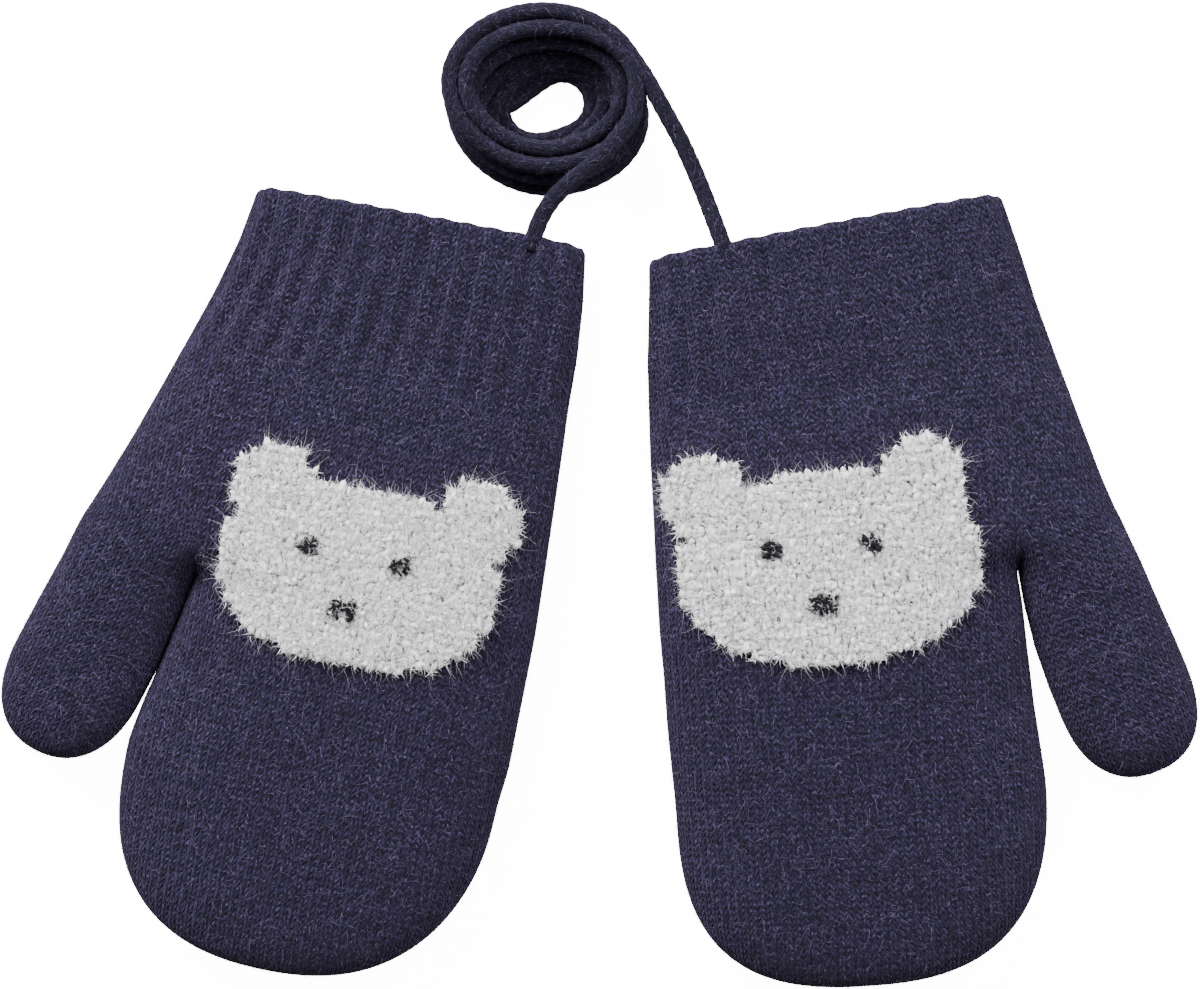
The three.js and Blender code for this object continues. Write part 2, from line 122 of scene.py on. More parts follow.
def smooth_route(points, step, width):
    """Points at an even step along a polyline, each the Gaussian mean of those near it."""
    lengths = np.concatenate([[0], np.cumsum(np.linalg.norm(np.diff(points, axis=0), axis=1))])
    even = np.arange(0, lengths[-1], step)
    line = np.column_stack([np.interp(even, lengths, points[:, i]) for i in range(3)])
    reach = int(3 * width / step)
    weights = np.exp(-0.5 * (np.arange(-reach, reach + 1) * step / width) ** 2)
    weights /= weights.sum()
    before = 2 * line[0] - line[reach:0:-1]
    after = 2 * line[-1] - line[-2:-reach - 2:-1]
    padded = np.vstack([before, line, after])
    return np.column_stack([np.convolve(padded[:, i], weights, "valid") for i in range(3)])


# The fold in the cord's middle: from the inner column's left end it winds inwards and down for
# two more turns, of which the last swings inwards at the right, goes round a loop there, and
# slantwise back under the inner column to the outer one.
INMOST_STARTS = 185  # degrees anticlockwise from the right, as are the next four starts
INMOST_ENDS = 975
INMOST_OVER = 600  # degrees over which these turns narrow and sink
INMOST_SHRINK = np.array([3, 2.4])
INMOST_TWIST = 3.6
SINK_STARTS = 860  # the last of the way down
SINK_OVER = 80
SINK_SHARE = 0.3
RISE_STARTS = 750  # the end of the last turn moves off the near side
RISE_OVER = 140
RISE = 4.3
SWING = 1.5  # how far the last turn swings in at the right
SWING_TURN = 650
SWING_WIDTH = 45
SWING_WAY = np.array([-0.7, 0.7])
FOLD_MIDDLE = np.array([-6.8, 88.8])
FOLD_RADIUS = 5.5
FOLD_STARTS = -60
SLANT = 217  # heading of the slanting stretch, in degrees
SLANT_LENGTH = 7.6
BACK_RADIUS = 5
BACK_ENDS = 195


def arc(middle, radius, start, end, step):
    """Points of a circle's arc about a middle, at every step from start to end in degrees."""
    turn = np.radians(np.arange(start, end, step))
    return middle + radius * np.column_stack([np.cos(turn), np.sin(turn)])


inward = np.arange(INMOST_STARTS, INMOST_ENDS, 6.0)
inmost = np.clip((inward - INMOST_STARTS) / INMOST_OVER, 0, 1)
sinking = (1 - SINK_SHARE) * inmost + SINK_SHARE * ease((inward - SINK_STARTS) / SINK_OVER)
inmost_z = CORD_DIAMETER / 2 + LAYER * (1 - sinking)
inmost_halves = INNER_TURN - INMOST_SHRINK * inmost[:, None]
inmost_twist = TWIST + (INMOST_TWIST - TWIST) * inmost[:, None]
near_side = on_coil(np.radians(inward), inmost_z, inmost_halves, inmost_twist, NARROWING)
swing = SWING * np.exp(-((inward - SWING_TURN) / SWING_WIDTH) ** 2)
near_side[:, :2] += swing[:, None] * SWING_WAY
near_side[:, 1] += RISE * ease((inward - RISE_STARTS) / RISE_OVER)
loop = arc(FOLD_MIDDLE, FOLD_RADIUS, FOLD_STARTS, SLANT - 90 + 1, 8.0)
slant_way = np.array([np.cos(np.radians(SLANT)), np.sin(np.radians(SLANT))])
slant_end = loop[-1] + slant_way * SLANT_LENGTH
back_middle = slant_end + BACK_RADIUS * np.array([slant_way[1], -slant_way[0]])
back = arc(back_middle, BACK_RADIUS, SLANT + 90, BACK_ENDS, -10.0)
fold_flat = np.vstack([loop, loop[-1] + slant_way * SLANT_LENGTH / 2, back])
fold = np.column_stack([fold_flat, np.full(len(fold_flat), CORD_DIAMETER / 2)])

inner_column = coil_turns(0, 720 + INNER_LEAVES, INNER_TURN, 1, NARROWING, TWIST, INNER_SPREAD)
outer_column = coil_turns(OUTER_STARTS, 1080 + OUTER_LEAVES, OUTER_TURN, 0)
cord_points = np.vstack([
    LEFT_ROUTE[::-1], inner_column[::-1], near_side, fold, outer_column, RIGHT_ROUTE,
])
cord_line = smooth_route(cord_points, CORD_STEP, CORD_EASE)


def tube_grid(line, radius, sides):
    """A round tube about a line: rings of points that turn as little as they can from one point
    of the line to the next, because each ring's first direction is kept square to the way on."""
    way = np.gradient(line, axis=0)
    way /= np.linalg.norm(way, axis=1)[:, None]
    first = np.empty_like(line)
    side = np.cross(way[0], [0, 0, 1.0])
    for i, heading in enumerate(way):
        side = side - heading * (side @ heading)
        side /= np.linalg.norm(side)
        first[i] = side
    second = np.cross(way, first)
    angle = np.linspace(0, 2 * np.pi, sides, endpoint=False)[None, :, None]
    around = first[:, None] * np.cos(angle) + second[:, None] * np.sin(angle)
    return line[:, None] + radius * around, around


def grid_faces(rows, columns):
    """Quads of a grid that closes round its columns, as an array of four point numbers."""
    a = np.arange((rows - 1) * columns).reshape(rows - 1, columns)
    b = np.roll(a, -1, axis=1)
    return np.stack([a, b, b + columns, a + columns], axis=-1).reshape(-1, 4)


def end_faces(rows, columns, first, last):
    """Triangles that close the first and the last ring of a grid to two points, by their numbers."""
    ring = np.arange(columns)
    after = np.roll(ring, -1)
    tail = (rows - 1) * columns
    start = np.stack([after, ring, np.full(columns, first)], axis=-1)
    end = np.stack([ring + tail, after + tail, np.full(columns, last)], axis=-1)
    return start, end


def make_piece(name, points, faces, uv):
    """A smooth mesh object at the origin, from points in mm, a list of faces, and one pair of
    pattern coordinates for each point, as the stitches UV map."""
    mesh = bpy.data.meshes.new(name)
    mesh.from_pydata((points * MM).tolist(), [], faces)
    mesh.shade_smooth()
    corners = np.empty(len(mesh.loops), dtype=np.int32)
    mesh.loops.foreach_get("vertex_index", corners)
    layer = mesh.uv_layers.new(name="stitches")
    layer.data.foreach_set("uv", uv[corners].astype(np.float32).ravel())
    piece = bpy.data.objects.new(name, mesh)
    bpy.context.collection.objects.link(piece)
    return piece


def closed_shell(name, grid, uv):
    """A piece from a grid of rings and their pattern coordinates. Both end rings are closed with
    triangles to a point in the middle of the ring."""
    rows, columns = grid.shape[:2]
    points = grid.reshape(-1, 3)
    middles = np.vstack([points[:columns].mean(axis=0), points[-columns:].mean(axis=0)])
    start, end = end_faces(rows, columns, len(points), len(points) + 1)
    faces = grid_faces(rows, columns).tolist() + start.tolist() + end.tolist()
    flat_uv = uv.reshape(-1, 2)
    return make_piece(name, np.vstack([points, middles]), faces,
                      np.vstack([flat_uv, flat_uv[:1], flat_uv[-1:]]))


def linear(hex_colour):
    """An sRGB hex colour as linear RGB with alpha 1."""
    srgb = np.array([int(hex_colour[i:i + 2], 16) for i in (1, 3, 5)]) / 255
    value = np.where(srgb <= 0.04045, srgb / 12.92, ((srgb + 0.055) / 1.055) ** 2.4)
    return (*value.tolist(), 1.0)


def connect(tree, node, inputs):
    """Sets or links a node's inputs, given in order, or by name or number. A node given as an
    input stands for its first output."""
    for key, value in inputs.items() if isinstance(inputs, dict) else enumerate(inputs):
        if isinstance(value, bpy.types.Node):
            value = value.outputs[0]
        if isinstance(value, bpy.types.NodeSocket):
            tree.links.new(value, node.inputs[key])
        else:
            node.inputs[key].default_value = value


def add(tree, kind, inputs=(), **settings):
    """Adds a node with its attributes and inputs."""
    node = tree.nodes.new(kind)
    for name, value in settings.items():
        setattr(node, name, value)
    connect(tree, node, inputs)
    return node


def start_material(name):
    """A new material, its node tree and its shader."""
    material = bpy.data.materials.new(name)
    material.use_nodes = True
    return material, material.node_tree, material.node_tree.nodes["Principled BSDF"]


def knit_height(tree, wobble):
    """Height of stocking stitch, from 0 in the furrows to 1, from the stitches UV map, which counts
    wales across and courses along. In each wale two legs meet in a V: a course is shifted along by
    its distance from the middle of the wale, and each leg is arched both across and along."""
    uv = add(tree, "ShaderNodeUVMap", uv_map="stitches")
    noise = add(tree, "ShaderNodeTexNoise", {"Vector": uv, "Scale": 0.45, "Detail": 2.0})
    moved = add(tree, "ShaderNodeVectorMath", {0: noise.outputs["Color"], "Scale": wobble},
                operation="SCALE")
    placed = add(tree, "ShaderNodeVectorMath", [uv, moved], operation="ADD")
    parts = add(tree, "ShaderNodeSeparateXYZ", [placed])
    across = add(tree, "ShaderNodeMath", [parts.outputs["X"]], operation="FRACT")
    signed = add(tree, "ShaderNodeMath", [across, 2.0, -1.0], operation="MULTIPLY_ADD")
    out = add(tree, "ShaderNodeMath", [signed], operation="ABSOLUTE")
    shifted = add(tree, "ShaderNodeMath", [out, 0.75, parts.outputs["Y"]], operation="MULTIPLY_ADD")
    course = add(tree, "ShaderNodeMath", [shifted], operation="FRACT")
    half_turn = add(tree, "ShaderNodeMath", [course, float(np.pi)], operation="MULTIPLY")
    along = add(tree, "ShaderNodeMath", [half_turn], operation="SINE")
    along = add(tree, "ShaderNodeMath", [along, 0.7], operation="POWER")
    inside = add(tree, "ShaderNodeMath", [1.0, out], operation="SUBTRACT")
    leg = add(tree, "ShaderNodeMath", [out, inside], operation="MULTIPLY")
    leg = add(tree, "ShaderNodeMath", [leg, 4.0], operation="MULTIPLY")
    leg = add(tree, "ShaderNodeMath", [leg, 0.6], operation="POWER")
    return add(tree, "ShaderNodeMath", [along, leg], operation="MULTIPLY")


def speckle(tree, size, detail=3.0, roughness=0.6):
    """Noise with grains of a size in mm, in Object coordinates."""
    place = add(tree, "ShaderNodeTexCoord").outputs["Object"]
    return add(tree, "ShaderNodeTexNoise", {
        "Vector": place, "Scale": 1 / (size * MM), "Detail": detail, "Roughness": roughness,
    })


def fibres(tree, size, detail=3.0, roughness=0.6):
    """Noise drawn out along the wales of the stitches UV map, with grains of a size in mm."""
    uv = add(tree, "ShaderNodeUVMap", uv_map="stitches")
    scaled = add(tree, "ShaderNodeMapping", {"Vector": uv, "Scale": (1.7, 0.9, 1)})
    return add(tree, "ShaderNodeTexNoise", {
        "Vector": scaled, "Scale": 1 / size, "Detail": detail, "Roughness": roughness,
    })


def soft_step(tree, value, low, high):
    """A value brought from low..high to 0..1 with soft ends."""
    inputs = {"Value": value, "From Min": low, "From Max": high}
    return add(tree, "ShaderNodeMapRange", inputs, interpolation_type="SMOOTHSTEP")


def wool(name, shadow, body, light, relief, sheen_tint, grain=speckle):
    """Brushed wool knit: matt, with heathered colour from three shades of fibre, painted shade that
    darkens the furrows between stitches, and the stitches and felted fibres as relief. grain is
    the noise that the fibres follow."""
    material, tree, shader = start_material(name)
    stitch = knit_height(tree, 0.5)
    heather = soft_step(tree, grain(tree, 0.9), 0.38, 0.64)
    clumps = soft_step(tree, speckle(tree, 7.0, 2.0), 0.3, 0.7)
    flecks = soft_step(tree, grain(tree, 0.62, 2.0, 0.5), 0.55, 0.72)
    flecks = add(tree, "ShaderNodeMath", [flecks, 0.5], operation="MULTIPLY")
    colour = add(tree, "ShaderNodeMix", {0: heather, 6: linear(shadow), 7: linear(body)},
                 data_type="RGBA")
    colour = add(tree, "ShaderNodeMix", {0: flecks, 6: colour.outputs[2], 7: linear(light)},
                 data_type="RGBA")
    # Painted shade: the colour is darkened towards the furrows between stitches, down to 0.38 of it
    # in the deepest; the clumps add random mottling on top.
    furrow = add(tree, "ShaderNodeMath", [stitch, 0.7, 0.38], operation="MULTIPLY_ADD")
    uneven = add(tree, "ShaderNodeMath", [clumps, 0.2, 0.9], operation="MULTIPLY_ADD")
    shade = add(tree, "ShaderNodeMath", [furrow, uneven], operation="MULTIPLY")
    dark = add(tree, "ShaderNodeVectorMath", {0: colour.outputs[2], "Scale": shade},
               operation="SCALE")
    raised = add(tree, "ShaderNodeMath", [stitch, relief], operation="MULTIPLY")
    felt = grain(tree, 0.7, 3.0, 0.65)
    height = add(tree, "ShaderNodeMath", [felt, 0.8, raised], operation="MULTIPLY_ADD")
    bump = add(tree, "ShaderNodeBump", {"Height": height, "Distance": 0.6 * MM, "Strength": 1.0})
    connect(tree, shader, {
        "Base Color": dark, "Normal": bump, "Roughness": 0.95, "Specular IOR Level": 0.15,
        "Sheen Weight": 0.2, "Sheen Roughness": 0.5, "Sheen Tint": linear(sheen_tint),
    })
    return material


# The cord's three shades are set darker than the mittens' navy wool: partly painted shade, standing
# in for the shade that fills the deep coil.
cord_wool = wool("knitted wool cord", "#0b0917", "#1b172b", "#453e54", 0.3, "#5f5878", fibres)
CORD_WALES = 6  # stitches round the cord
CORD_COURSE = 1.15
CORD_SIDES = 16
WALE_SWELL = 0.09  # how far the columns of stitches, and every second course, stand out
COURSE_SWELL = 0.05
cord_grid, cord_out = tube_grid(cord_line, CORD_DIAMETER / 2, CORD_SIDES)
cord_along = np.arange(len(cord_line)) * CORD_STEP
cord_angle = np.linspace(0, 2 * np.pi, CORD_SIDES, endpoint=False)
column_swell = WALE_SWELL * np.cos(CORD_WALES * cord_angle)[None, :]
course_swell = COURSE_SWELL * np.cos(np.pi * cord_along / CORD_COURSE)[:, None]
cord_grid = cord_grid + cord_out * (column_swell + course_swell)[:, :, None]
wales_round = np.abs(cord_angle / np.pi - 1) * CORD_WALES
cord_uv = np.stack(np.meshgrid(wales_round, cord_along / CORD_COURSE), axis=-1)
cord = closed_shell("cord", cord_grid, cord_uv)
cord.data.materials.append(cord_wool)
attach(cord, "root")
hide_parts("cord_coil", "cord_left", "cord_right")


# Hands and cuffs: one knitted tube for each mitten, ribbed at the wrist and in stocking stitch
# from there to the closed fingertips, brushed so that short hairs lie over the stitches.
# The cloth is 2.5 mm thick; the tube lies flat, full and soft, with its underside on the surface.
WALL = 2.5
CUFF_LENGTH = 32
RIB_COUNT = 28
RIB_DEPTH = 0.75
RIBS_DEEPEN = 7  # distance from the rim over which the ribs get their full depth
RIBS_FADE = 8  # distance over which they end
RIM_SCALLOP = 0.12
RIM_ROLL = 0.6  # how far the very rim turns in, over ROLL_OVER
ROLL_OVER = 1.2
RIM_CORNER = 0.5  # how far the rim's corners are drawn in
FULLNESS = 2.6  # exponent of the section's oval
EDGE_SHARE = 0.4  # height of the side edge, as a share of the whole height
PRESSED = 1.12  # how far the lower half would reach without the surface, in edge heights
TIP_HEIGHT_FULLNESS = 3.4
WALE = 1.55  # width of a stitch
COURSE = 1.2  # height of a stitch
THINNEST = 0.3  # least half width and height of a ring near a closed tip
LAST_RING = 0.9995  # how far the last ring lies along the closing tip
REACH = (-10, 160)  # between these distances along, the outline and middle line are worked out
OUTLINE_STEP = 0.5
LINE_STEP = 0.25
CORNER_ROUNDING = 1.1  # width of the Gaussian mean that rounds the outline's corners
GUSSET_GOES_ON = 60
LIFTED = 5  # the cloth's waves grow from this height on, over the same height again
SOFT_WAVES = [(0.35, 26), (0.16, 9)]  # height and length
WIDEST_ROW = 6  # of the outline, at the gusset
AROUND = 256
RING_STEP = 0.75
INSIDE_STEP = 6

# side is -1 where the thumb points to -X; turn is how far the middle line leans, in degrees.
# Each outline row holds: along from the cuff's edge, the distances from the middle line to the
# little finger's side and to the thumb's side, and the height.
MITTENS = {
    "left": dict(
        side=-1, cuff_middle=(-32.5, 67.6), cuff_turn=10.6, hand_turn=11.2, bend_end=60,
        tip_start=104, tip_end=140.6, tip_fullness=2.4, tip_shift=1.6,
        bear=dict(along=66.6, across=-1.6, size=0.96, face=-1.2, ears=0.8),
        columns=("along", "little", "thumb", "height"),
        outline=[
            (0, 30.6, 30.6, 11), (10, 32, 32.2, 11.3), (20, 32.8, 34.8, 11.6),
            (30, 33, 38, 12.2), (40, 33.5, 41.2, 13.2), (50, 34, 44.5, 14.2),
            (60, 34.5, 48.2, 14.8), (64.5, 34.7, 50.1, 15), (71.2, 35, 27.8, 15),
            (80, 35, 29.4, 15), (88, 35, 31, 15), (96, 35, 32.9, 15), (104, 34.2, 34.3, 15),
        ],
        root_along=64.5, root_growth=0.42,
    ),
    "right": dict(
        side=1, cuff_middle=(41.6, 66.0), cuff_turn=10.6, hand_turn=4, bend_end=60,
        tip_start=104, tip_end=139.3, tip_fullness=2.7, tip_shift=-1.0,
        bear=dict(along=62.4, across=-8, size=1.02, face=-1.4, ears=-1.9),
        columns=("along", "little", "thumb", "height"),
        outline=[
            (0, 33.2, 32.5, 11), (10, 35, 34, 11.3), (20, 36.8, 35.5, 11.6),
            (30, 37.8, 37.8, 12.2), (40, 38.5, 40.5, 13.2), (50, 38.8, 43.5, 14.2),
            (57.5, 39, 46.3, 14.8), (63.8, 39.1, 26.6, 15), (72, 39.2, 27.4, 15),
            (80, 39, 27.7, 15), (90, 39, 28.2, 15), (104, 38.5, 29.4, 15),
        ],
        root_along=57.5, root_growth=0.37,
    ),
}


def outline_at(spec, along, name, wide=False):
    """A column of the outline at distances along, with its corners rounded by a Gaussian mean.
    With wide, the gusset goes on growing past the root of the thumb."""
    rows = np.array(spec["outline"], dtype=float)
    known = rows[:, 0]
    values = rows[:, spec["columns"].index(name)]
    if wide and name == "thumb":
        keep = known <= spec["root_along"]
        known = np.append(known[keep], spec["root_along"] + GUSSET_GOES_ON)
        values = np.append(values[keep], values[keep][-1] + GUSSET_GOES_ON * spec["root_growth"])
    fine = np.arange(*REACH, OUTLINE_STEP)
    near = int(3 * CORNER_ROUNDING / OUTLINE_STEP)
    weights = np.exp(-0.5 * (np.arange(-near, near + 1) * OUTLINE_STEP / CORNER_ROUNDING) ** 2)
    padded = np.pad(np.interp(fine, known, values), near, mode="edge")
    return np.interp(along, fine, np.convolve(padded, weights / weights.sum(), "valid"))


def hand_section(spec, along, wide=False):
    """Middle, half width, height and the tip's closing share of the height, at distances along.
    Towards the tip the width follows a full oval and the height a fuller one."""
    little = outline_at(spec, along, "little")
    thumb = outline_at(spec, along, "thumb", wide)
    share = np.clip((along - spec["tip_start"]) / (spec["tip_end"] - spec["tip_start"]), 0, 1)
    width = (1 - share ** spec["tip_fullness"]) ** (1 / spec["tip_fullness"])
    tall = (1 - share ** TIP_HEIGHT_FULLNESS) ** (1 / TIP_HEIGHT_FULLNESS)
    middle = (thumb - little) / 2 + spec["tip_shift"] * ease(share)
    return middle, (thumb + little) / 2 * width, outline_at(spec, along, "height"), tall


def middle_line(spec, along):
    """Where the middle line is, and which way along and across point, at distances along."""
    fine = np.arange(*REACH, LINE_STEP)
    share = ease(fine / spec["bend_end"])
    turn = np.radians(spec["cuff_turn"] + (spec["hand_turn"] - spec["cuff_turn"]) * share)
    down = np.column_stack([spec["side"] * np.sin(turn), -np.cos(turn)])
    place = np.cumsum(down, axis=0) * LINE_STEP
    start = np.array([np.interp(0, fine, place[:, i]) for i in (0, 1)])
    place = place - start + np.array(spec["cuff_middle"])
    turned = np.interp(along, fine, turn)
    middle = np.stack([np.interp(along, fine, place[:, i]) for i in (0, 1)], axis=-1)
    way_down = np.stack([spec["side"] * np.sin(turned), -np.cos(turned)], axis=-1)
    way_out = np.stack([spec["side"] * np.cos(turned), np.sin(turned)], axis=-1)
    return middle, way_down, way_out


def to_sheet(spec, along, across):
    """X and Y of points of a mitten, from their distances along and across."""
    middle, _, way_out = middle_line(spec, along)
    return middle + way_out * across[..., None]


def from_sheet(spec, flat):
    """Distances along and across of points in X and Y, found by walking along the middle line."""
    along = np.full(flat.shape[:-1], 60.0)
    for _ in range(8):
        middle, way_down, way_out = middle_line(spec, along)
        off = flat - middle
        along = along + (off * way_down).sum(axis=-1)
    return along, (off * way_out).sum(axis=-1)


def heights(section, across, inset=0.0):
    """Heights of the top and of the underside at distances across: the upper half of an oval
    above the edge, and below it a deeper half that the surface presses flat."""
    middle, half, height, tall = section
    out = np.clip(np.abs(across - middle) / np.maximum(half - inset, THINNEST), 0, 1)
    lift = (1 - out ** FULLNESS) ** (1 / FULLNESS)
    edge = height * EDGE_SHARE
    top = edge + np.maximum((height - edge - inset) * tall, THINNEST) * lift
    under = np.maximum(edge - edge * PRESSED * tall * lift, inset)
    return top, under


def ring_grid(section, count, inset):
    """Rings of evenly spaced points round sections: distance across, height, and the distance
    round from the thumb's side as a share. Rows are sections."""
    angle = np.linspace(0, 2 * np.pi, 721)
    cos, sin = np.cos(angle), np.sin(angle)
    middle, half, height, tall = (np.asarray(v, dtype=float)[:, None] for v in section)
    edge = height * EDGE_SHARE
    power = 2 / FULLNESS
    across = middle + np.maximum(half - inset, THINNEST) * np.sign(cos) * np.abs(cos) ** power
    lift = np.abs(sin) ** power
    above = edge + np.maximum((height - edge - inset) * tall, THINNEST) * lift
    below = np.maximum(edge - edge * PRESSED * tall * lift, inset)
    z = np.where(sin >= 0, above, below)
    steps = np.hypot(np.diff(across, axis=1), np.diff(z, axis=1))
    lengths = np.concatenate([np.zeros((len(z), 1)), np.cumsum(steps, axis=1)], axis=1)
    share = np.arange(count) / count
    rings = np.empty((len(z), count, 2))
    for row, (w, h, length) in enumerate(zip(across, z, lengths)):
        rings[row, :, 0] = np.interp(share * length[-1], length, w)
        rings[row, :, 1] = np.interp(share * length[-1], length, h)
    return rings, lengths[:, -1]


def stitch_uv(rings, perimeters, along):
    """Pattern coordinates: wales across, counted from the middle line on the top, and courses
    along. The underside repeats the top's wales from edge to edge, so that they meet at both
    sides."""
    count = rings.shape[1]
    share = np.arange(count) / count
    wales = np.empty(rings.shape[:2])
    for row, (ring, perimeter) in enumerate(zip(rings, perimeters)):
        turn = int(np.argmin(ring[:, 0]))
        top = share[:turn + 1] * perimeter
        zero = np.interp(0, -ring[:turn + 1, 0], top)
        wales[row, :turn + 1] = (top - zero) / WALE
        ends = [share[turn], 1.0]
        wales[row, turn:] = np.interp(share[turn:], ends, [wales[row, turn], wales[row, 0]])
    return np.stack([wales, np.broadcast_to(along[:, None] / COURSE, wales.shape)], axis=-1)


def turned_out(spec, values):
    """Values on a grid of rings, with each ring's order turned round where the thumb points to
    -X, so that the faces of both mittens point outwards."""
    return values[:, ::-1] if spec["side"] < 0 else values


def grid_normals(grid):
    """Outward directions of a grid that closes round its columns, from its neighbours' places."""
    down = np.gradient(grid, axis=0)
    round_ = np.roll(grid, -1, axis=1) - np.roll(grid, 1, axis=1)
    normal = np.cross(round_, down)
    return normal / np.maximum(np.linalg.norm(normal, axis=2, keepdims=True), 1e-9)


def soft_waves(flat, seed, size):
    """Uneven softness of cloth, from -1 to 1: the mean of eight sine waves across the sheet in
    random directions, each about size mm long."""
    rng = np.random.default_rng(seed)
    total = np.zeros(flat.shape[:-1])
    for _ in range(8):
        way = rng.uniform(0, 2 * np.pi)
        length = size * rng.uniform(0.7, 1.5)
        phase = rng.uniform(0, 2 * np.pi)
        turned = flat[..., 0] * np.cos(way) + flat[..., 1] * np.sin(way)
        total += np.sin(2 * np.pi * turned / length + phase)
    return total / 8


def hand_shell(spec, seed):
    """The outside of cuff and hand, from the rim to the fingertips, as rings of points. Ribs
    lie round the cuff: each point moves in by a furrow's depth times half of one less the
    cosine of its rib, fading out below the cuff. The rim stands out a little at each rib, and
    curves in at its two corners."""
    tip = spec["tip_end"] - spec["tip_start"]
    straight = np.arange(0, spec["tip_start"], RING_STEP)
    rounds = int(tip / RING_STEP * 1.25)
    closing = spec["tip_start"] + tip * LAST_RING * np.sin(np.linspace(0, np.pi / 2, rounds))
    along = np.concatenate([straight, closing])
    rings, perimeters = ring_grid(hand_section(spec, along), AROUND, 0.0)
    uv = stitch_uv(rings, perimeters, along)
    way = np.roll(rings, -1, axis=1) - np.roll(rings, 1, axis=1)
    way /= np.maximum(np.linalg.norm(way, axis=2, keepdims=True), 1e-9)
    inwards = np.stack([-way[..., 1], way[..., 0]], axis=-1)
    rib = np.cos(2 * np.pi * np.arange(AROUND) / AROUND * RIB_COUNT)[None, :]
    fade = (1 - ease((along - CUFF_LENGTH + 5) / RIBS_FADE))[:, None]
    rolled = RIM_ROLL * np.clip(1 - along / ROLL_OVER, 0, 1)[:, None] ** 2
    shallow = 0.45 + 0.55 * ease(along / RIBS_DEEPEN)[:, None]
    depth = RIB_DEPTH * fade * shallow * (0.5 - 0.5 * rib) ** 1.4 + rolled
    middle, half = (v[:, None] for v in hand_section(spec, along)[:2])
    out = np.clip(np.abs(rings[..., 0] - middle) / half, 0, 1)
    rings = rings + inwards * depth[..., None]
    near_rim = (1 - ease(along / 12))[:, None]
    along_all = along[:, None] + near_rim * (RIM_CORNER * out ** 18 - RIM_SCALLOP * rib)
    flat = to_sheet(spec, along_all, rings[..., 0])
    z = rings[..., 1]
    lifted = ease((z - LIFTED) / LIFTED)
    waves = sum(rise * soft_waves(flat, seed + i, size) for i, (rise, size) in enumerate(SOFT_WAVES))
    z = z + lifted * waves
    grid = np.concatenate([flat, np.maximum(z, 0)[..., None]], axis=-1)
    return turned_out(spec, grid), turned_out(spec, uv)


def hand_inside(spec):
    """The inside of cuff and hand, moved in by the cloth's thickness, from tip to rim."""
    end = spec["tip_end"] - WALL
    along = np.concatenate([np.arange(1.2, spec["tip_start"], INSIDE_STEP),
                            np.linspace(spec["tip_start"], end, 8)])[::-1]
    shorter = dict(spec, tip_end=end + 0.02)
    rings, perimeters = ring_grid(hand_section(shorter, along), AROUND, WALL)
    flat = to_sheet(spec, np.broadcast_to(along[:, None], rings.shape[:2]), rings[..., 0])
    grid = np.concatenate([flat, rings[..., 1:]], axis=-1)
    return turned_out(spec, grid), turned_out(spec, stitch_uv(rings, perimeters, along))


navy_wool = wool("brushed wool knit", "#0e0b1c", "#251e39", "#544b6c", 1.0, "#796f95")
hand_grids = {}
for number, (name, spec) in enumerate(MITTENS.items()):
    outside, outside_uv = hand_shell(spec, 10 * number + 3)
    inside, inside_uv = hand_inside(spec)
    hand_grids[name] = outside
    hand = closed_shell(f"{name}_mitten", np.concatenate([inside, outside]),
                        np.concatenate([inside_uv, outside_uv]))
    hand.data.materials.append(navy_wool)
    _, little, thumb, _ = spec["outline"][WIDEST_ROW]
    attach(hand, "root")
    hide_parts(f"{name}_cuff", f"{name}_hand")


# Thumbs: stitches picked up round the end of the gusset and knitted into a tube with a round
# tip. The first rings lie just under the hand's cloth, so that the knitting runs on without a
# step, and a crease deepens between thumb and hand down to the crotch.
THUMBS = {
    "left": dict(
        root=(-83.5, 8.3), turn=27.4, tip_start=26, tip_end=43, tip_fullness=2.3,
        columns=("along", "inner", "outer", "height"),
        outline=[
            (-9, 10.4, 10.6, 13), (-3, 11.2, 11.2, 13), (0, 11.7, 11.6, 13), (5, 12, 11.8, 13),
            (10, 12.5, 11.9, 13), (18, 13, 12.1, 13), (26, 13, 12.2, 13),
        ],
    ),
    "right": dict(
        root=(85.95, 8.6), turn=22, tip_start=29, tip_end=45.4, tip_fullness=2.4,
        columns=("along", "inner", "outer", "height"),
        outline=[
            (-9, 9.4, 9.4, 13), (-3, 9.9, 9.9, 13), (0, 10.3, 10.2, 13), (8, 12, 10.6, 13),
            (16, 13.1, 10.8, 13), (24, 13.5, 11.1, 13), (29, 13.5, 11.2, 13),
        ],
    ),
}
THUMB_AROUND = 112
JOIN = 9  # length over which the hand's form turns into the thumb's
SUNK = 0.35  # how far the first rings lie under the hand's cloth


def thumb_column(thumb, along, name):
    """A column of the thumb's outline at distances along from its root."""
    rows = np.array(thumb["outline"], dtype=float)
    return np.interp(along, rows[:, 0], rows[:, thumb["columns"].index(name)])


def thumb_section(thumb, along):
    """Middle, half width, height and closing share of the height, as for the hand."""
    inner, outer = (thumb_column(thumb, along, name) for name in ("inner", "outer"))
    share = np.clip((along - thumb["tip_start"]) / (thumb["tip_end"] - thumb["tip_start"]), 0, 1)
    width = (1 - share ** thumb["tip_fullness"]) ** (1 / thumb["tip_fullness"])
    tall = (1 - share ** TIP_HEIGHT_FULLNESS) ** (1 / TIP_HEIGHT_FULLNESS)
    height = thumb_column(thumb, along, "height")
    return (outer - inner) / 2, (outer + inner) / 2 * width, height, tall


